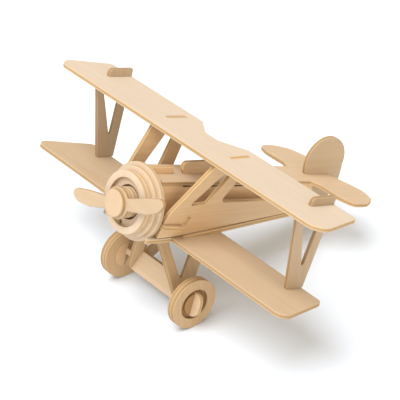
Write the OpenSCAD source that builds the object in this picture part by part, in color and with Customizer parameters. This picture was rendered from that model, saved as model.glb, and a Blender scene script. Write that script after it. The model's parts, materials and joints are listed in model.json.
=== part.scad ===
// Plywood biplane scale model: slotted flat pieces, a turning propeller and turning wheels.
// Millimetres. +Z up, nose toward -Y, port wing toward +X. It stands on its wheels and tail skid,
// with the origin on the ground below the middle of its bounding box.
// The pieces are laid out in a level datum: x sideways, y aft, z up, with its origin at the middle
// of the upper wing's leading edge on the top surface. on_ground() pitches that datum nose up.

/* [Sheet] */
// Plywood sheet thickness
ply = 3; // [2.8:0.1:3.2]
// Clearance around a tab in its slot
slot_gap = 0.05; // [0.02:0.01:0.1]

/* [Wings] */
// Upper wing span along its leading edge
upper_span = 271.4; // [262:1:280]
// Upper wing chord
upper_chord = 41.4; // [40:0.2:44]
// Lower wing span along its leading edge
lower_span = 263; // [254:1:270]
// Lower wing chord
lower_chord = 43.3; // [42:0.1:44]
// Depth of the cut-out in the upper wing's trailing edge
bay_depth = 12.1; // [8:0.1:13]
// Inward rake of the wing tips, per unit of chord
tip_rake = 0.265; // [0.2:0.005:0.3]

/* [Landing gear] */
// Wheel radius
wheel_r = 17.5; // [16:0.1:18]
// Radius of the opening in a wheel's outer layer
wheel_open_r = 10.6; // [10.1:0.1:12]
// Running clearance, on radius, of the wheels and the propeller shaft
run_gap = 0.05; // [0.03:0.01:0.08]

/* [Nose] */
// Propeller radius
prop_r = 45.5; // [42:0.5:48]
// Angle at which the propeller is parked, port blade up
prop_park = 20; // [0:5:180]
// Radius of the largest cowling layer
cowl_r = 25.5; // [25:0.1:26]
// Radius of the cowling's front opening
cowl_open_r = 15.9; // [13:0.1:16.5]
// Propeller shaft radius
shaft_r = 2.5; // [2:0.1:3]

/* [Tail] */
// Tailplane half span
tail_half_span = 49; // [45:0.5:52]
// Fin radius
fin_r = 18.5; // [17:0.1:20]

/* [Stance] */
// Nose-up angle of the model at rest
stance = 18.4; // [17:0.1:20]

/* [Hidden] */
$fn = 96;
upper_half = upper_span / 2;
lower_half = lower_span / 2;
lower_z = -59;
lower_le = -4.8;
lower_te = lower_le + lower_chord;
strut_x = 103;
strut_lean = 3.3;
tab_gap = 0.2;
foot_gap = 0.5;
// side plates: reference point on the outer face at the foot, lean outward, toe inward
side_ref = [22.2, 7, lower_z];
side_lean = 12.24;
side_toe = 2.58;
panel_x = 13.4;
panel_front = -16.4;
panel_end = 130;
panel_toe = 1.06;
deck_drop = 0.058;
deck_z = -24.3;
belly_rise = 0.083;
belly_start = -2;
thrust_z = -43;
cowl_back = -19.5;
cowl_front = cowl_back - 4 * ply;
cross_front = -18.6;
cross_aft = -1.6;
boss_r = 10;
boss_open_r = 11.2;
hub_gap = 0.3;
boss_back = cowl_back - ply - hub_gap;
prop_back = boss_back - 4 * ply;
cap_r = 9;
leg_ref = [8.3, 0, lower_z - ply];
leg_lean = 23.6;
wheel_y = 14.1;
wheel_z = -100.5;
wheel_in = 33.7;
axle_top = 10.2;
axle_low = 6.5;
neck_h = 16.6;
axle_end = 45.5;
bearing_r = 9.25;
keeper_r = 9.8;
keeper_step_r = 7.8;
fin_c = [142.4, -23.1];
skid_y = 149;
skid_r = 2.5;
tail_y = 121.5;
lift = wheel_r + wheel_y * sin(stance) - wheel_z * cos(stance);
skid_z = (skid_r - lift + skid_y * sin(stance)) / cos(stance);
nose_y = (prop_back - 2 * ply) * cos(stance) + (thrust_z - cap_r) * sin(stance);
back_y = fin_c[0] * cos(stance) + fin_c[1] * sin(stance) + fin_r;
shift_y = -(nose_y + back_y) / 2;
birch = [0.93, 0.84, 0.69];
birch_end = [0.86, 0.72, 0.52];

// ---- outlines ----

// One corner of a path, rounded to radius c[2]: the points of its arc.
function corner(a, c, b) =
    let (u = [a[0] - c[0], a[1] - c[1]], v = [b[0] - c[0], b[1] - c[1]])
    let (un = u / norm(u), vn = v / norm(v), half = acos(un * vn) / 2)
    let (reach = c[2] / tan(half), mid = (un + vn) / norm(un + vn))
    let (o = [c[0], c[1]] + mid * c[2] / sin(half))
    let (p = [c[0], c[1]] + un * reach - o, q = [c[0], c[1]] + vn * reach - o)
    let (start = atan2(p[1], p[0]), turn = atan2(p[0] * q[1] - p[1] * q[0], p * q))
    let (steps = max(2, ceil(abs(turn) / 9)))
    [for (i = [0 : steps]) o + c[2] * [cos(start + turn * i / steps), sin(start + turn * i / steps)]];

// A closed path of [x, y, radius] corners.
function rounded(path) =
    let (n = len(path))
    [for (i = [0 : n - 1])
        let (c = path[i])
        each (c[2] > 0 ? corner(path[(i + n - 1) % n], c, path[(i + 1) % n]) : [[c[0], c[1]]])];

// The left half of a symmetric path, from its right half in reverse.
function mirrored(half) = [for (i = [len(half) - 1 : -1 : 0]) [-half[i][0], half[i][1], half[i][2]]];

// ---- placing ----

module on_ground() {
    translate([0, shift_y, lift])
        rotate([-stance, 0, 0])
            children();
}

module starboard() {
    mirror([1, 0, 0])
        children();
}

// A level sheet whose top face is at height z; its outline is in [x, y].
module level_sheet(z, thick = ply) {
    translate([0, 0, z - thick])
        linear_extrude(thick)
            children();
}

// An upright sheet along the model, its outline in [y, z]; ref is on its outer face. It leans
// outward going up by lean, and toes inward going aft by toe.
module side_sheet(ref, lean = 0, toe = 0, grow = 0) {
    translate(ref)
        rotate([0, 0, toe])
            rotate([0, lean, 0])
                translate([-ply - grow, 0, 0])
                    rotate([90, 0, 90])
                        linear_extrude(ply + 2 * grow)
                            children();
}

// An upright sheet on the centre line, its outline in [y, z].
module keel_sheet(grow = 0) {
    side_sheet([ply / 2, 0, 0], grow = grow)
        children();
}

// A disc or a ring across the model, from y to y + thick, on the thrust line.
module thrust_disc(y, r, bore, thick = ply) {
    translate([0, y + thick, thrust_z])
        rotate([90, 0, 0])
            difference() {
                cylinder(h = thick, r = r);
                translate([0, 0, -1])
                    cylinder(h = thick + 2, r = bore);
            }
}

// A disc or a ring on the port wheel's axis, from x to x + thick.
module wheel_layer(x, r, bore, thick = ply) {
    translate([x, wheel_y, wheel_z])
        rotate([0, 90, 0])
            difference() {
                cylinder(h = thick, r = r);
                if (bore > 0)
                    translate([0, 0, -1])
                        cylinder(h = thick + 2, r = bore);
            }
}

// A level datum point on the side plate's outer face, as [along, up] in its own plane.
function on_side(y, z) =
    let (up = (z - side_ref[2]) / cos(side_lean))
    [(y - side_ref[1] - up * sin(side_lean) * sin(side_toe)) / cos(side_toe), up];

function on_side_r(p) = let (q = on_side(p[0], p[1])) [q[0], q[1], p[2]];

function strut_up(z) = (z - lower_z) / cos(strut_lean);

function leg_up(z) = (z - leg_ref[2]) / cos(leg_lean);

function belly_top(y) = lower_z + belly_rise * max(0, y - belly_start);

function deck_top(y) = deck_z - deck_drop * y;

// ---- wings ----

// Half of a wing's outline, from the leading edge round the tip to the trailing edge.
function wing_half(half, le, chord, front_r, rear_r) = [
    [half, le, front_r],
    [half - tip_rake * chord, le + chord, rear_r]];

function bay_half(te) = [
    [23.5, te, 5],
    [6.5, te - bay_depth, 6]];

module inner_tab(grow = 0) {
    side_sheet(side_ref, side_lean, side_toe, grow)
        polygon([
            on_side(17.2 - grow, -6),
            on_side(33.8 + grow, -6),
            on_side(33.8 + grow, grow > 0 ? 4 : -0.3),
            on_side(17.2 - grow, grow > 0 ? 4 : -0.3)]);
}

module outer_slots() {
    for (s = [-1, 1])
        scale([s, 1, 1])
            side_sheet([strut_x + ply / 2 - 59 * tan(strut_lean), 0, lower_z], strut_lean, 0, slot_gap)
                polygon([
                    [21.3 - slot_gap, strut_up(-8)],
                    [upper_chord + 5, strut_up(-8)],
                    [upper_chord + 5, strut_up(8)],
                    [21.3 - slot_gap, strut_up(8)]]);
}

module upper_wing() {
    half = concat(wing_half(upper_half, 0, upper_chord, 10, 3), bay_half(upper_chord));
    color(birch)
        on_ground()
            difference() {
                level_sheet(0)
                    polygon(rounded(concat(half, mirrored(half))));
                inner_tab(tab_gap);
                starboard()
                    inner_tab(tab_gap);
                outer_slots();
            }
}

// Port strut's foot tab, or with grow its slot.
module strut_foot(grow = 0) {
    side_sheet([strut_x + ply / 2 - 59 * tan(strut_lean), 0, lower_z], strut_lean, 0, grow)
        polygon([
            [28 - grow, strut_up(lower_z - ply + 0.1) - 20 * grow],
            [36.5 + grow, strut_up(lower_z - ply + 0.1) - 20 * grow],
            [36.5 + grow, strut_up(lower_z + 1)],
            [28 - grow, strut_up(lower_z + 1)]]);
}

module leg_tabs(grow = 0) {
    side_sheet(leg_ref, -leg_lean, 0, grow)
        for (y = [1, 27])
            polygon([
                [y - grow, leg_up(lower_z - ply - 1)],
                [y + 8 + grow, leg_up(lower_z - ply - 1)],
                [y + 8 + grow, leg_up(lower_z - 0.3) + 40 * grow],
                [y - grow, leg_up(lower_z - 0.3) + 40 * grow]]);
}

module lower_wing() {
    half = wing_half(lower_half, lower_le, lower_chord, 7, 4);
    color(birch)
        on_ground()
            difference() {
                level_sheet(lower_z)
                    polygon(rounded(concat(half, mirrored(half))));
                for (s = [-1, 1])
                    scale([s, 1, 1]) {
                        strut_foot(slot_gap);
                        leg_tabs(slot_gap);
                    }
            }
}

module wing_strut() {
    side_sheet([strut_x + ply / 2 - 59 * tan(strut_lean), 0, lower_z], strut_lean)
        difference() {
            polygon(rounded([
                [25.3, strut_up(lower_z), 0.8],
                [28, strut_up(lower_z), 0],
                [28, strut_up(lower_z - ply + 0.1), 0],
                [36.5, strut_up(lower_z - ply + 0.1), 0],
                [36.5, strut_up(lower_z), 0],
                [39.3, strut_up(lower_z), 0.8],
                [41.4, strut_up(-3.3), 0],
                [41.4, strut_up(5.3), 0.8],
                [21.3, strut_up(5.3), 3],
                [21.3, strut_up(-3.3), 0],
                [11.8, strut_up(-3.3), 1]]));
            polygon(rounded([
                [32.9, strut_up(-47), 1.2],
                [34.6, strut_up(-8), 1.5],
                [18.2, strut_up(-8), 1.5]]));
        }
}

module wing_strut_port() {
    color(birch)
        on_ground()
            wing_strut();
}

module wing_strut_starboard() {
    color(birch)
        on_ground()
            starboard()
                wing_strut();
}

// ---- fuselage ----

module side_plate() {
    difference() {
        side_sheet(side_ref, side_lean, side_toe)
            difference() {
                polygon(rounded([for (p = [
                    [-18, lower_z + foot_gap, 0.8],
                    [belly_start, lower_z + foot_gap, 0],
                    [104, belly_top(104) + foot_gap, 3],
                    [104, -40, 2],
                    [25, -34.6, 3],
                    [38, -3.7, 0.8],
                    [33.8, -3.7, 0],
                    [33.8, -0.3, 0.3],
                    [17.2, -0.3, 0.3],
                    [17.2, -3.7, 0],
                    [6.6, -3.7, 0.8],
                    [-16.7, -40.5, 2],
                    [-17.8, -48, 4]]) on_side_r(p)]));
                polygon(rounded([for (p = [
                    [-2.4, -35, 1.6],
                    [13.6, -34.6, 1.6],
                    [26.7, -7.5, 1.2],
                    [19.8, -7.5, 1.2]]) on_side_r(p)]));
            }
        cross_plate_blank(slot_gap, 0.2);
        cross_brace_blank(0.2);
    }
}

module side_plate_port() {
    color(birch)
        on_ground()
            side_plate();
}

module side_plate_starboard() {
    color(birch)
        on_ground()
            starboard()
                side_plate();
}

module upper_panel() {
    // three shallow gaps in the top edge, under the deck
    gaps = [2.8, 26.2, 49.6];
    difference() {
        side_sheet([panel_x, panel_front, 0], 0, panel_toe)
            translate([-panel_front, 0])
                difference() {
                    polygon([
                        [panel_front, lower_z],
                        [belly_start, lower_z],
                        [panel_end, belly_top(panel_end)],
                        [panel_end - 4.5, deck_top(panel_end - 4.5) - ply - 0.1],
                        [panel_front, deck_top(panel_front) - ply - 0.1]]);
                    for (y = gaps)
                        translate([y, deck_top(y) - ply - 1.4])
                            square([9.8, 4]);
                }
        cross_plate_blank(slot_gap, 0);
        cross_brace_blank(0.2);
    }
}

module upper_panel_port() {
    color(birch)
        on_ground()
            upper_panel();
}

module upper_panel_starboard() {
    color(birch)
        on_ground()
            starboard()
                upper_panel();
}

// Two tabs of the headrest through the deck, and the rib's one.
module deck_tabs(grow = 0) {
    keel_sheet(grow)
        for (t = [[-13, 8], [16, 8], [32, 8]])
            polygon([
                [t[0] - grow, deck_top(t[0]) - ply - 20 * grow],
                [t[0] + t[1] + grow, deck_top(t[0] + t[1]) - ply - 20 * grow],
                [t[0] + t[1] + grow, deck_top(t[0] + t[1]) + 0.5 + 20 * grow],
                [t[0] - grow, deck_top(t[0]) + 0.5 + 20 * grow]]);
}

// Deck and tailplane, cut from one sheet.
module top_deck() {
    half = [
        [13.6, panel_front, 1],
        [12, tail_y, 1.5],
        [20, tail_y + 3.8, 8],
        [tail_half_span - 11, tail_y + 3.1, 14],
        [tail_half_span, tail_y + 7.5, 6],
        [tail_half_span, tail_y + 20.5, 14],
        [tail_half_span - 6, tail_y + 31.5, 10],
        [30, tail_y + 36.5, 14],
        [18, tail_y + 34, 20],
        [3, tail_y + 28.5, 2]];
    color(birch)
        on_ground()
            difference() {
                translate([0, 0, deck_z])
                    rotate([-atan(deck_drop), 0, 0])
                        level_sheet(0)
                            polygon(rounded(concat(half, mirrored(half))));
                deck_tabs(slot_gap);
                fin_blank(slot_gap);
            }
}

module headrest() {
    color(birch)
        on_ground() {
            keel_sheet()
                polygon(rounded([
                    [12, deck_top(12), 1.5],
                    [44, deck_top(44), 0.5],
                    [44, -17.2, 3],
                    [10, -16.8, 3],
                    [10, -22.5, 1.5]]));
            intersection() {
                deck_tabs();
                translate([-5, 15, -60])
                    cube([10, 26, 50]);
            }
        }
}

module cowl_rib() {
    color(birch)
        on_ground() {
            keel_sheet()
                polygon(rounded([
                    [panel_front, deck_top(panel_front), 0],
                    [1.6, deck_top(1.6), 0],
                    [1.6, -20, 0.6],
                    [panel_front, -19.4, 0.6]]));
            intersection() {
                deck_tabs();
                translate([-5, -14, -60])
                    cube([10, 10, 50]);
            }
        }
}

// The belly rises going aft; its underside is planed level where it lies on the lower wing.
module belly_plate() {
    tilt = atan(belly_rise);
    front = 24.4;
    rear = front - (panel_end - belly_start) * tan(side_toe);
    color(birch)
        on_ground()
            difference() {
                translate([0, belly_start, lower_z])
                    rotate([tilt, 0, 0])
                        level_sheet(0)
                            polygon(rounded([
                                [-front, 6, 0],
                                [front, 6, 0],
                                [rear, panel_end - belly_start, 3],
                                [-rear, panel_end - belly_start, 3]]));
                translate([-40, lower_le - 5, lower_z - 10])
                    cube([80, lower_chord + 5, 10]);
            }
}

// Level plate under the nose, with a prong each side of the cowling.
module chin_plate() {
    half = [
        [23.3, lower_le, 0],
        [23.3, -26, 1.2],
        [cowl_r - 5.2, -26, 1.2],
        [cowl_r - 5.2, panel_front, 1]];
    color(birch)
        on_ground()
            level_sheet(lower_z)
                polygon(rounded(concat(half, mirrored(half))));
}

// Cross plate, a little lower at its aft end; it stands out of the side plates, and its middle is
// cut back round the nose former. above grows its slot upward, and a slot is open at the front.
module cross_plate_blank(grow = 0, above = 0) {
    half = grow > 0 ? [
        [40, -25, 0],
        [40, cross_aft + grow, 0]] : [
        [21, cross_front + 2.7, 0],
        [21, cross_front, 0.5],
        [28.5, cross_front, 0.5],
        [28.5, cross_aft, 0.5]];
    translate([0, cross_front, -47.6])
        rotate([-6.3, 0, 0])
            translate([0, -cross_front, -ply - grow])
                linear_extrude(ply + 2 * grow + above)
                    polygon(rounded(concat(half, mirrored(half))));
}

module cross_plate() {
    color(birch_end)
        on_ground()
            cross_plate_blank();
}

// Slanted brace across the fuselage, its ends flush with the side plates.
module cross_brace_blank(grow = 0) {
    w = grow > 0 ? 40 : 25.1;
    translate([0, 2, -46.5])
        rotate([-15.6, 0, 0])
            translate([-w, -1.5 - grow, -2.65 - grow])
                cube([2 * w, 3 + 2 * grow, 5.3 + 2 * grow]);
}

module cross_brace() {
    color(birch_end)
        on_ground()
            cross_brace_blank();
}

// Upright sheet across the fuselage between the upper panels.
module former(y) {
    half = panel_x - ply - (y + ply - panel_front) * tan(panel_toe) - 0.1;
    translate([0, y + ply, 0])
        rotate([90, 0, 0])
            linear_extrude(ply)
                polygon([
                    [-half, belly_top(y + ply) + 0.1],
                    [half, belly_top(y + ply) + 0.1],
                    [half, deck_top(y + ply) - ply - 0.2],
                    [-half, deck_top(y + ply) - ply - 0.2]]);
}

module mid_former() {
    color(birch)
        on_ground()
            former(60);
}

module tail_former() {
    color(birch)
        on_ground()
            former(112);
}

// ---- nose ----

module nose_former() {
    color(birch)
        on_ground()
            thrust_disc(cowl_back, 20, shaft_r + run_gap);
}

module cowl_layer_1() {
    color(birch)
        on_ground()
            thrust_disc(cowl_front, cowl_r - 5, cowl_open_r);
}

// The second layer closes in round the boss and has a pin hole below it.
module cowl_layer_2() {
    color(birch)
        on_ground()
            difference() {
                thrust_disc(cowl_front + ply, cowl_r - 5, boss_open_r);
                translate([-2.4, cowl_front, thrust_z - 14.9])
                    rotate([-90, 0, 0])
                        cylinder(h = 3 * ply, r = 1.5);
            }
}

module cowl_layer_3() {
    color(birch)
        on_ground()
            thrust_disc(cowl_front + 2 * ply, cowl_r - 2.5, boss_open_r);
}

module cowl_back_disc() {
    color(birch)
        on_ground()
            thrust_disc(cowl_front + 3 * ply, cowl_r, shaft_r + run_gap);
}

module prop_shaft() {
    color(birch_end)
        on_ground()
            translate([0, -12.8, thrust_z])
                rotate([90, 0, 0])
                    cylinder(h = -12.8 - prop_back + ply, r = shaft_r);
}

module shaft_stop() {
    color(birch)
        on_ground()
            thrust_disc(cowl_back + ply + 0.3, 4.2, shaft_r);
}

// Boss discs are numbered from the propeller aft.
module boss_disc(i) {
    thrust_disc(prop_back + i * ply, boss_r, shaft_r);
}

module boss_disc_1() {
    color(birch)
        on_ground()
            boss_disc(0);
}

module boss_disc_2() {
    color(birch)
        on_ground()
            boss_disc(1);
}

module boss_disc_3() {
    color(birch)
        on_ground()
            boss_disc(2);
}

module boss_disc_4() {
    color(birch)
        on_ground()
            boss_disc(3);
}

// The two blades are mirror images of each other.
module propeller() {
    blade = rounded([
        [0, -4.6, 0],
        [12, -4.6, 8],
        [28, -5.2, 16],
        [prop_r - 6, -3, 10],
        [prop_r + 0.3, 2.4, 3],
        [prop_r - 4, 6, 4],
        [29, 5.4, 20],
        [12, 3.5, 0],
        [0, 3.5, 0]]);
    color(birch)
        on_ground()
            translate([0, prop_back, thrust_z])
                rotate([90, 0, 0])
                    rotate([0, 0, prop_park])
                        difference() {
                            union() {
                                cylinder(h = ply, r = boss_r + 0.5);
                                for (s = [-1, 1])
                                    scale([s, 1, 1])
                                        linear_extrude(ply)
                                            polygon(blade);
                            }
                            translate([0, 0, -1])
                                cylinder(h = ply + 2, r = shaft_r);
                        }
}

module prop_cap() {
    color(birch)
        on_ground()
            translate([0, prop_back - ply, thrust_z])
                rotate([90, 0, 0])
                    cylinder(h = ply, r = cap_r);
}

// ---- landing gear ----

module gear_leg() {
    difference() {
        union() {
            side_sheet(leg_ref, -leg_lean)
                difference() {
                    polygon(rounded([for (p = [
                        [-5.4, lower_z - ply, 1],
                        [43.5, lower_z - ply, 1],
                        [27.6, -91, 14],
                        [22.6, -105.2, 2.5],
                        [11.2, -105.2, 2],
                        [9.3, -102.4, 3]]) [p[0], leg_up(p[1]), p[2]]]));
                    polygon(rounded([for (p = [
                        [4.2, -67.2, 3.2],
                        [14.6, -93.2, 1.4],
                        [29.8, -67.2, 3.2]]) [p[0], leg_up(p[1]), p[2]]]));
                }
            leg_tabs();
        }
        axle_blank(slot_gap);
    }
}

module gear_leg_port() {
    color(birch)
        on_ground()
            gear_leg();
}

module gear_leg_starboard() {
    color(birch)
        on_ground()
            starboard()
                gear_leg();
}

// Upright plate across the gear: a wide middle that ends in the legs, a waist outside them, and
// rounded ends in the wheels.
module axle_blank(grow = 0) {
    half = [
        [26, -axle_low - grow, 0],
        [24.2, 0.5, 0],
        [wheel_in - 0.4, 0.5, 0],
        [wheel_in - 0.4, -neck_h / 2 - grow, 0],
        [axle_end + grow, -neck_h / 2 - grow, 6.5],
        [axle_end + grow, neck_h / 2 + grow, 6.5],
        [wheel_in - 0.4, neck_h / 2 + grow, 0],
        [wheel_in - 0.4, 4.5, 0],
        [22.2, 4.5, 0],
        [19.5, axle_top + grow, 0]];
    translate([0, wheel_y + ply / 2 + grow, wheel_z])
        rotate([90, 0, 0])
            linear_extrude(ply + 2 * grow)
                polygon(rounded(concat(half, mirrored(half))));
}

module axle_plate() {
    color(birch)
        on_ground()
            axle_blank();
}

// Fixed disc that the wheel turns on, slotted for the axle plate.
module bearing_disc() {
    difference() {
        wheel_layer(wheel_in - 0.2, bearing_r, 0, ply + 0.5);
        axle_blank(0.02);
    }
}

module bearing_disc_port() {
    color(birch)
        on_ground()
            bearing_disc();
}

module bearing_disc_starboard() {
    color(birch)
        on_ground()
            starboard()
                bearing_disc();
}

module wheel_disc_port() {
    color(birch)
        on_ground()
            wheel_layer(wheel_in, wheel_r, bearing_r + run_gap);
}

module wheel_disc_starboard() {
    color(birch)
        on_ground()
            starboard()
                wheel_layer(wheel_in, wheel_r, bearing_r + run_gap);
}

module wheel_ring_port() {
    color(birch)
        on_ground()
            wheel_layer(wheel_in + ply, wheel_r, wheel_open_r);
}

module wheel_ring_starboard() {
    color(birch)
        on_ground()
            starboard()
                wheel_layer(wheel_in + ply, wheel_r, wheel_open_r);
}

// Fixed stepped disc that keeps the wheel on its bearing disc.
module hub_keeper() {
    difference() {
        union() {
            wheel_layer(wheel_in + ply + 0.3, keeper_r, 0, 1);
            wheel_layer(wheel_in + ply + 1.2, keeper_step_r, 0, 1.4);
        }
        axle_blank(0.02);
    }
}

module hub_keeper_port() {
    color(birch_end)
        on_ground()
            hub_keeper();
}

module hub_keeper_starboard() {
    color(birch_end)
        on_ground()
            starboard()
                hub_keeper();
}

// ---- tail ----

// Round fin and the tail skid below it, one sheet.
module fin_blank(grow = 0) {
    keel_sheet(grow)
        union() {
            translate(fin_c)
                circle(r = fin_r + grow);
            polygon(rounded([
                [126, -32, 0],
                [129.5, -46, 6],
                [skid_y - skid_r, skid_z - skid_r, skid_r],
                [skid_y + skid_r, skid_z - skid_r, skid_r],
                [154, -52, 10],
                [fin_c[0] + fin_r + 0.3, -39, 2],
                [fin_c[0] + fin_r + 0.3, fin_c[1] - 4, 0]]));
        }
}

module fin() {
    color(birch)
        on_ground()
            fin_blank();
}

// ---- drawing ----

upper_wing();
lower_wing();
wing_strut_port();
wing_strut_starboard();
side_plate_port();
side_plate_starboard();
upper_panel_port();
upper_panel_starboard();
top_deck();
headrest();
cowl_rib();
belly_plate();
chin_plate();
cross_plate();
cross_brace();
mid_former();
tail_former();
nose_former();
cowl_layer_1();
cowl_layer_2();
cowl_layer_3();
cowl_back_disc();
prop_shaft();
shaft_stop();
boss_disc_1();
boss_disc_2();
boss_disc_3();
boss_disc_4();
propeller();
prop_cap();
gear_leg_port();
gear_leg_starboard();
axle_plate();
bearing_disc_port();
bearing_disc_starboard();
wheel_disc_port();
wheel_disc_starboard();
wheel_ring_port();
wheel_ring_starboard();
hub_keeper_port();
hub_keeper_starboard();
fin();
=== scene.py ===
import json
import math
import random

import bmesh
import bpy
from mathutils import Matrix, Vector


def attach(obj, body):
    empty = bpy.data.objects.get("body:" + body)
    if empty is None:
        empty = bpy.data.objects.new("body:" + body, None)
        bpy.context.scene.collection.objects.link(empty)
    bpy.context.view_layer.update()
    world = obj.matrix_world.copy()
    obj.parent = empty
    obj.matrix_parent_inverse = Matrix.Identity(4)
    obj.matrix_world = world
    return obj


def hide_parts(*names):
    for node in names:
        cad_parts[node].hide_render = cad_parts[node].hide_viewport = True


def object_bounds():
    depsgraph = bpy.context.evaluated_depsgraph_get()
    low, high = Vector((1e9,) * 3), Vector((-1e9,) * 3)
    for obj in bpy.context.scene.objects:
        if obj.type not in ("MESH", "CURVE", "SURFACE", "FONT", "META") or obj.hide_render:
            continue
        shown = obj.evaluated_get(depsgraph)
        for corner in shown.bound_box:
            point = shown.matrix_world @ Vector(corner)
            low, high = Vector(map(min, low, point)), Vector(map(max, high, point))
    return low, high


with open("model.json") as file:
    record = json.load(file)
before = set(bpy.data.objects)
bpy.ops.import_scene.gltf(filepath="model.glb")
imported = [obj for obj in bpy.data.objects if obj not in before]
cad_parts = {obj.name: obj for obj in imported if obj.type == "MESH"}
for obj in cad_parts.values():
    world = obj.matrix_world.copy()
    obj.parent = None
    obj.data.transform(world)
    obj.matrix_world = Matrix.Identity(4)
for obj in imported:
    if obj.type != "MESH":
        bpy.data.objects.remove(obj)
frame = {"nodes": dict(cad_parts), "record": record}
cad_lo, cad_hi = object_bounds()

MM = 0.001
BODY_OF = {
    node: body
    for body, members in frame["record"]["behaviour"]["bodies"].items()
    for node in members
}
PROP_JOINT = next(
    joint
    for joint in frame["record"]["behaviour"]["joints"]
    if joint["name"] == "propeller_spin"
)
HUB = Vector(PROP_JOINT["pos_m"])
# The model stands nose up: forward, aft and up in the model's own level.
THRUST = Vector(PROP_JOINT["axis"])
AFT = -THRUST
BODY_UP = Vector((0, THRUST.z, -THRUST.y))
SPAN = Vector((1, 0, 0))
UP = Vector((0, 0, 1))

CAMERA_LENS_MM = 157.94
CAMERA_AZIMUTH = 51.29
CAMERA_ELEVATION = 33.12
CAMERA_DISTANCE = 1.15788
# From the propeller's hub to the point that the camera looks at.
CAMERA_AIM = Vector((-0.00358, 0.067349, -0.027496))

ARRIS_MM = 0.32
# Edges that bend more than this, in degrees, are rounded.
SHARP_DEG = 28
# Faces that bend less than this, in degrees, are merged into one.
FLAT_DEG = 0.3
MERGE_M = 2e-6
# Distances from the middle of the sheet, in mm: where the core gives way to the outer ply's
# cut edge, and where that edge gives way to the face veneer.
CORE_FADE_MM = (0.46, 0.60)
VENEER_FADE_MM = (1.12, 1.40)
LATHE_STEPS = 120
LATHE_CORNER_STEPS = 3
FLOOR_HALF_M = 6.0
FLOOR_GAP_M = 0.00005

random.seed(5)

# ---------------------------------------------------------------- camera and light


def place_camera():
    """The camera stands ahead of the port wing tip and looks down on the model."""
    data = bpy.data.cameras.new("camera")
    data.sensor_width = 36
    data.lens = CAMERA_LENS_MM
    data.clip_start, data.clip_end = 0.01, 50
    camera = bpy.data.objects.new("camera", data)
    bpy.context.scene.collection.objects.link(camera)
    azimuth, elevation = math.radians(CAMERA_AZIMUTH), math.radians(CAMERA_ELEVATION)
    back = Vector(
        (
            math.sin(azimuth) * math.cos(elevation),
            -math.cos(azimuth) * math.cos(elevation),
            math.sin(elevation),
        )
    )
    camera.location = HUB + CAMERA_AIM + back * CAMERA_DISTANCE
    camera.rotation_mode = "QUATERNION"
    camera.rotation_quaternion = back.to_track_quat("Z", "Y")
    bpy.context.scene.camera = camera


def add_sun(name, azimuth, elevation, strength, angle, colour):
    """A soft light that shines from azimuth and elevation, in degrees; azimuth 0 is in front."""
    data = bpy.data.lights.new(name, "SUN")
    data.energy = strength
    data.angle = math.radians(angle)
    data.color = colour
    sun = bpy.data.objects.new(name, data)
    a, e = math.radians(azimuth), math.radians(elevation)
    towards = Vector(
        (math.sin(a) * math.cos(e), -math.cos(a) * math.cos(e), math.sin(e))
    )
    sun.rotation_mode = "QUATERNION"
    sun.rotation_quaternion = towards.to_track_quat("Z", "Y")
    bpy.context.scene.collection.objects.link(sun)


def light_studio():
    add_sun("key", 0, 70, 2.78, 50, (1.0, 0.99, 0.98))
    add_sun("fill", -10, 28, 0.42, 60, (1.0, 0.99, 0.98))
    add_sun("side_fill", 70, 12, 1.05, 40, (1.0, 0.87, 0.64))
    world = bpy.data.worlds.new("studio")
    bpy.context.scene.world = world
    world.use_nodes = True
    background = world.node_tree.nodes["Background"]
    background.inputs["Color"].default_value = (1.0, 0.90, 0.76, 1)
    background.inputs["Strength"].default_value = 0.64
    view = bpy.context.scene.view_settings
    view.view_transform = "Standard"
    view.look = "None"


# ---------------------------------------------------------------- materials


class Graph:
    """Small helper that adds shader nodes to one material."""

    def __init__(self, name):
        self.material = bpy.data.materials.new(name)
        self.material.use_nodes = True
        self.tree = self.material.node_tree
        self.shader = self.tree.nodes["Principled BSDF"]

    def node(self, kind, **settings):
        made = self.tree.nodes.new(kind)
        for key, value in settings.items():
            setattr(made, key, value)
        return made

    def wire(self, source, target):
        self.tree.links.new(source, target)

    def feed(self, socket, value):
        if isinstance(value, bpy.types.NodeSocket):
            self.wire(value, socket)
        else:
            socket.default_value = value

    def math(self, operation, a, b=0.0, c=0.0):
        made = self.node("ShaderNodeMath", operation=operation)
        for socket, value in zip(made.inputs, (a, b, c)):
            self.feed(socket, value)
        return made.outputs[0]

    def stretched(self, vector, scale):
        made = self.node("ShaderNodeVectorMath", operation="MULTIPLY")
        self.wire(vector, made.inputs[0])
        made.inputs[1].default_value = scale
        return made.outputs[0]

    def noise(self, vector, scale, detail=2.0, roughness=0.5, distortion=0.0):
        made = self.node("ShaderNodeTexNoise")
        self.wire(self.stretched(vector, scale), made.inputs["Vector"])
        made.inputs["Scale"].default_value = 1.0
        made.inputs["Detail"].default_value = detail
        made.inputs["Roughness"].default_value = roughness
        made.inputs["Distortion"].default_value = distortion
        return made.outputs["Fac"]

    def band(self, value, low, high, out_low=0.0, out_high=1.0):
        made = self.node("ShaderNodeMapRange", interpolation_type="SMOOTHSTEP")
        self.wire(value, made.inputs["Value"])
        made.inputs["From Min"].default_value = low
        made.inputs["From Max"].default_value = high
        made.inputs["To Min"].default_value = out_low
        made.inputs["To Max"].default_value = out_high
        return made.outputs["Result"]

    def mix(self, factor, a, b, blend="MIX"):
        made = self.node("ShaderNodeMix", data_type="RGBA", blend_type=blend)
        self.feed(made.inputs["Factor"], factor)
        self.feed(made.inputs[6], a)
        self.feed(made.inputs[7], b)
        return made.outputs[2]

    def combine(self, value):
        made = self.node("ShaderNodeCombineColor")
        for socket in made.inputs:
            self.wire(value, socket)
        return made.outputs[0]


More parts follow.
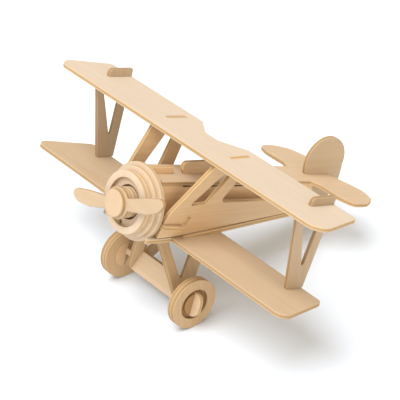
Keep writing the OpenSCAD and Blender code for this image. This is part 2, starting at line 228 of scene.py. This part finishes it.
def plywood(name, pale, deep, rim_colour, core):
    """Three-ply sheet.

    ply_mm on the mesh is (along the grain, across it, through the thickness), in millimetres;
    ply_tone multiplies the colour; it carries each piece's painted light and shade.
    """
    g = Graph(name)
    place = g.node("ShaderNodeAttribute", attribute_name="ply_mm").outputs["Vector"]
    parts = g.node("ShaderNodeSeparateXYZ")
    g.wire(place, parts.inputs[0])
    tone = g.node("ShaderNodeAttribute", attribute_name="ply_tone").outputs["Fac"]
    depth = g.math("ABSOLUTE", parts.outputs["Z"])

    # face veneer: faint broad figure, fine fibres and a few short pores
    cloud = g.noise(place, (0.014, 0.05, 0.0), 2.0)
    figure = g.noise(place, (0.014, 0.33, 0.0), 3.0, 0.5, 0.3)
    fibre = g.noise(place, (0.09, 2.6, 0.6), 2.0, 0.6)
    pore = g.noise(place, (0.42, 4.6, 0.6), 1.0)
    streak = g.band(figure, 0.34, 0.74)
    colour = g.mix(streak, pale, deep)
    shade = g.math("MULTIPLY_ADD", cloud, 0.10, 0.95)
    shade = g.math("MULTIPLY_ADD", fibre, 0.05, g.math("SUBTRACT", shade, 0.025))
    shade = g.math("SUBTRACT", shade, g.band(pore, 0.68, 0.80, 0.0, 0.06))
    # tone brings in the piece's painted light and shade.
    shade = g.math("MULTIPLY", shade, tone)
    colour = g.mix(1.0, colour, g.combine(shade), "MULTIPLY")

    # edge: a golden cut, with the crossed core a little darker between its glue lines
    end_grain = g.noise(place, (2.2, 2.2, 1.2), 2.0, 0.6)
    # The cut edge carries the same painted light and shade through tone.
    grainy = g.math("MULTIPLY", g.math("MULTIPLY_ADD", end_grain, 0.16, 0.92), tone)
    rim = g.band(depth, *VENEER_FADE_MM, 1.0, 0.0)
    edge_colour = g.mix(1.0, rim_colour, g.combine(grainy), "MULTIPLY")
    colour = g.mix(rim, colour, edge_colour)
    wobble = g.noise(place, (0.05, 0.05, 0.0), 1.0)
    level = g.math("MULTIPLY_ADD", wobble, 0.18, g.math("SUBTRACT", depth, 0.09))
    in_core = g.band(level, *CORE_FADE_MM, 1.0, 0.0)
    core_colour = g.mix(1.0, core, g.combine(grainy), "MULTIPLY")
    colour = g.mix(in_core, colour, core_colour)
    g.wire(colour, g.shader.inputs["Base Color"])

    rough = g.math("MULTIPLY_ADD", fibre, 0.12, 0.54)
    rough = g.math("MULTIPLY_ADD", rim, 0.12, rough)
    g.wire(rough, g.shader.inputs["Roughness"])
    g.shader.inputs["Specular IOR Level"].default_value = 0.25
    height = g.math("MULTIPLY_ADD", fibre, 0.6, g.math("MULTIPLY", pore, 0.5))
    height = g.math("MULTIPLY_ADD", g.math("MULTIPLY", end_grain, rim), 0.9, height)
    bump = g.node("ShaderNodeBump")
    bump.inputs["Strength"].default_value = 0.22
    bump.inputs["Distance"].default_value = 0.0001
    g.wire(height, bump.inputs["Height"])
    g.wire(bump.outputs["Normal"], g.shader.inputs["Normal"])
    return g.material


# ---------------------------------------------------------------- meshes


def cleaned(node):
    """The node's solid with flat areas merged into single faces."""
    bm = bmesh.new()
    bm.from_mesh(frame["nodes"][node].data)
    bmesh.ops.remove_doubles(bm, verts=bm.verts, dist=MERGE_M)
    bmesh.ops.dissolve_limit(
        bm,
        angle_limit=math.radians(FLAT_DEG),
        verts=bm.verts,
        edges=bm.edges,
    )
    return bm


def thickness_axis(bm):
    """The direction that the largest flat area faces."""
    groups = []
    for face in bm.faces:
        for group in groups:
            if abs(group[0].dot(face.normal)) > 0.9999:
                group[1] += face.calc_area()
                break
        else:
            groups.append([face.normal.copy(), face.calc_area()])
    return max(groups, key=lambda group: group[1])[0].normalized()


def soften(bm, width):
    """Rounds every edge that is sharper than SHARP_DEG."""
    edges = [
        e
        for e in bm.edges
        if len(e.link_faces) == 2 and e.calc_face_angle(0) > math.radians(SHARP_DEG)
    ]
    bmesh.ops.bevel(
        bm,
        geom=edges,
        offset=width,
        offset_type="OFFSET",
        segments=2,
        profile=0.5,
        affect="EDGES",
        clamp_overlap=False,
        loop_slide=False,
    )
    for face in bm.faces:
        face.smooth = True


def lathe(bm_source, axis, width):
    """A round piece rebuilt smoothly from its CAD solid: a disc or ring with rounded rims."""
    points = [v.co.copy() for v in bm_source.verts]
    along = [p.dot(axis) for p in points]
    low, high = min(along), max(along)
    centre = sum(points, Vector()) / len(points)
    centre -= axis * centre.dot(axis)
    reach = [(p - centre - axis * p.dot(axis)).length for p in points]
    outer, inner = max(reach), min(reach)
    if inner > outer - 1e-4:
        inner = 0.0
    first = axis.orthogonal().normalized()
    second = axis.cross(first)
    profile = []

    def corner(r, s, from_angle):
        for k in range(LATHE_CORNER_STEPS + 1):
            a = math.radians(from_angle + 90 * k / LATHE_CORNER_STEPS)
            profile.append((r + width * math.cos(a), s + width * math.sin(a)))

    corner(outer - width, low + width, -90)
    corner(outer - width, high - width, 0)
    if inner:
        corner(inner + width, high - width, 90)
        corner(inner + width, low + width, 180)
    bm = bmesh.new()
    rings = []
    for k in range(LATHE_STEPS):
        a = 2 * math.pi * k / LATHE_STEPS
        spoke = first * math.cos(a) + second * math.sin(a)
        rings.append(
            [bm.verts.new(centre + spoke * r + axis * s) for r, s in profile]
        )
    count = len(profile)
    for k in range(LATHE_STEPS):
        here, there = rings[k], rings[(k + 1) % LATHE_STEPS]
        for j in range(count if inner else count - 1):
            m = (j + 1) % count
            bm.faces.new((here[j], there[j], there[m], here[m]))
    if not inner:
        bm.faces.new([ring[0] for ring in reversed(rings)])
        bm.faces.new([ring[-1] for ring in rings])
    bmesh.ops.recalc_face_normals(bm, faces=bm.faces)
    for face in bm.faces:
        face.smooth = True
    return bm


def family(node):
    """The name that a port and a starboard piece share."""
    return node.removesuffix("_port").removesuffix("_starboard")


def mark_grain(mesh, through, grain, tone, end=(0.0, 1.0)):
    """Stores where each vertex lies in its sheet, in millimetres, and its tone, which carries
    the piece's painted light and shade.

    end is (height in mm, factor): the piece's top end has its tone multiplied by the factor.
    """
    along = (grain - through * grain.dot(through)).normalized()
    across = through.cross(along)
    depths = [v.co.dot(through) for v in mesh.vertices]
    middle = (min(depths) + max(depths)) / 2
    shift_along = random.uniform(-400, 400)
    shift_across = random.uniform(-400, 400)
    level = tone * random.uniform(0.985, 1.015)
    places = []
    for v, depth in zip(mesh.vertices, depths):
        places += [
            v.co.dot(along) / MM + shift_along,
            v.co.dot(across) / MM + shift_across,
            (depth - middle) / MM,
        ]
    mesh.attributes.new("ply_mm", "FLOAT_VECTOR", "POINT")
    mesh.attributes["ply_mm"].data.foreach_set("vector", places)
    mesh.attributes.new("ply_tone", "FLOAT", "POINT")
    heights = [v.co.dot(BODY_UP) for v in mesh.vertices]
    top = max(heights) - end[0] * MM
    tones = [level * (end[1] if height > top else 1.0) for height in heights]
    mesh.attributes["ply_tone"].data.foreach_set("value", tones)


def add_piece(node, material, grain, tone, width, is_round):
    """Redraws one CAD node in plywood, with its arrises rounded to width mm."""
    source = cleaned(node)
    through = thickness_axis(source)
    if is_round:
        bm = lathe(source, through, width * MM)
        source.free()
    else:
        bm = source
        soften(bm, width * MM)
    mesh = bpy.data.meshes.new(node + "_ply")
    bm.to_mesh(mesh)
    bm.free()
    mark_grain(mesh, through, grain, tone, END_TONES_WITH_PAINTED_LIGHT.get(family(node), (0.0, 1.0)))
    piece = bpy.data.objects.new(node + "_ply", mesh)
    bpy.context.scene.collection.objects.link(piece)
    mesh.materials.append(material)
    normals = piece.modifiers.new("face_normals", "WEIGHTED_NORMAL")
    normals.mode = "FACE_AREA"
    normals.weight = 100
    normals.keep_sharp = True
    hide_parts(node)
    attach(piece, BODY_OF[node])
    return piece


place_camera()
light_studio()
# Five copies of one birch ply, graded for how light falls on the pieces: pale and soft go on lit
# tops and fronts; mid is partly painted shade; warm is painted with the shade on sides and
# undersides; deep is painted with the shade in recesses.
PALE = plywood(
    "birch_ply_pale",
    (0.632, 0.530, 0.422, 1),
    (0.610, 0.502, 0.390, 1),
    (0.550, 0.405, 0.250, 1),
    (0.430, 0.270, 0.120, 1),
)
SOFT = plywood(
    "birch_ply_soft",
    (0.620, 0.500, 0.378, 1),
    (0.598, 0.470, 0.340, 1),
    (0.580, 0.430, 0.280, 1),
    (0.500, 0.345, 0.190, 1),
)
MID = plywood(
    "birch_ply_mid",
    (0.605, 0.455, 0.308, 1),
    (0.575, 0.425, 0.275, 1),
    (0.540, 0.385, 0.230, 1),
    (0.420, 0.265, 0.118, 1),
)
SHADED_WARM = plywood(
    "birch_ply_warm_painted_shade",
    (0.640, 0.450, 0.270, 1),
    (0.600, 0.410, 0.230, 1),
    (0.555, 0.385, 0.205, 1),
    (0.430, 0.270, 0.120, 1),
)
DEEP_SHADE = plywood(
    "birch_ply_painted_deep_shade",
    (0.420, 0.280, 0.150, 1),
    (0.380, 0.245, 0.125, 1),
    (0.340, 0.205, 0.095, 1),
    (0.270, 0.150, 0.060, 1),
)

# Pieces by the name that a port and a starboard piece share.
# Deep is painted shade: a dark copy for the hub keepers and the shaft, which sit in recesses.
DEEP_SHADE_NODES = {"prop_shaft", "hub_keeper"}
SOFT_NODES = {
    "cowl_layer_1",
    "cowl_layer_2",
    "cowl_layer_3",
    "cowl_back_disc",
    "boss_disc_1",
    "boss_disc_2",
    "boss_disc_3",
    "boss_disc_4",
}
# Mid is partly painted shade: a darker, warmer copy than the pale sheet.
MID_NODES = {
    "wing_strut",
    "top_deck",
    "fin",
    "axle_plate",
    "lower_wing",
    "prop_cap",
    "propeller",
}
# Warm is painted shade: a darker, warmer copy for pieces seen on their shaded sides and
# undersides.
SHADED_WARM_NODES = {
    "side_plate",
    "gear_leg",
    "upper_panel",
    "headrest",
    "cowl_rib",
    "wheel_disc",
    "wheel_ring",
    "bearing_disc",
    "belly_plate",
    "cross_plate",
    "cross_brace",
}
# Discs and rings that are redrawn by turning. cowl_layer_2 is not, because of its pin hole.
ROUND_NODES = {
    "nose_former",
    "cowl_layer_1",
    "cowl_layer_3",
    "cowl_back_disc",
    "boss_disc_1",
    "boss_disc_2",
    "boss_disc_3",
    "boss_disc_4",
    "prop_cap",
    "shaft_stop",
    "wheel_disc",
    "wheel_ring",
}
SPANWISE_NODES = {
    "upper_wing",
    "lower_wing",
    "chin_plate",
    "cross_plate",
    "cross_brace",
    "axle_plate",
    "propeller",
}
UPRIGHT_NODES = {"wing_strut", "gear_leg", "cowl_layer_2"}
# How light each piece's sheet is. Much of this is painted light and shade: the upper panels are
# raised to look lit, and the struts, gear legs and wheels lowered to look shaded.
TONES_WITH_PAINTED_LIGHT = {
    "lower_wing": 0.91,
    "top_deck": 0.99,
    "upper_wing": 1.01,
    "cowl_layer_1": 1.03,
    "cowl_layer_2": 1.03,
    "cowl_layer_3": 1.03,
    "prop_cap": 0.95,
    "propeller": 0.87,
    "wing_strut": 0.78,
    "upper_panel": 1.12,
    "gear_leg": 0.80,
    "side_plate": 0.96,
    "headrest": 1.06,
    "cowl_rib": 1.10,
    "fin": 0.84,
    "axle_plate": 1.04,
    "wheel_disc": 0.86,
    "wheel_ring": 0.80,
}
# How much paler a piece's top end is, as (height in mm, factor): painted light. The side plates'
# tab ends, flush in the lit top of the upper wing, are made paler than the plates' shade-painted
# sheet.
END_TONES_WITH_PAINTED_LIGHT = {"side_plate": (1.0, 1.14)}
# Radius of the arris in mm, where it is not ARRIS_MM. A piece with small corners has a small
# one, because wider rounding would fold its faces over each other there.
ROUNDING = {
    "prop_cap": 0.9,
    "propeller": 0.7,
    "prop_shaft": 0.3,
    "gear_leg": 0.2,
    "side_plate": 0.15,
    "belly_plate": 0.2,
    "cross_plate": 0.4,
    "cross_brace": 0.55,
    "wheel_disc": 0.12,
    "hub_keeper": 0.15,
    "bearing_disc": 0.08,
}

for node in sorted(BODY_OF):
    kind = family(node)
    grain = AFT
    if kind in SPANWISE_NODES:
        grain = SPAN
    elif kind in UPRIGHT_NODES or kind in ROUND_NODES:
        grain = UP
    material = PALE
    for members, sheet in (
        (SOFT_NODES, SOFT),
        (MID_NODES, MID),
        (SHADED_WARM_NODES, SHADED_WARM),
        (DEEP_SHADE_NODES, DEEP_SHADE),
    ):
        if kind in members:
            material = sheet
    add_piece(
        node,
        material,
        grain,
        TONES_WITH_PAINTED_LIGHT.get(kind, 1.0),
        ROUNDING.get(kind, ARRIS_MM),
        kind in ROUND_NODES,
    )


def make_floor():
    half = FLOOR_HALF_M
    mesh = bpy.data.meshes.new("floor")
    z = cad_lo.z - FLOOR_GAP_M
    mesh.from_pydata(
        [(-half, -half, z), (half, -half, z), (half, half, z), (-half, half, z)],
        [],
        [(0, 1, 2, 3)],
    )
    floor = bpy.data.objects.new("floor", mesh)
    bpy.context.scene.collection.objects.link(floor)
    g = Graph("pale_floor")
    g.shader.inputs["Base Color"].default_value = (0.80, 0.88, 1.0, 1)
    g.shader.inputs["Roughness"].default_value = 0.9
    g.shader.inputs["Specular IOR Level"].default_value = 0.1
    mesh.materials.append(g.material)


make_floor()
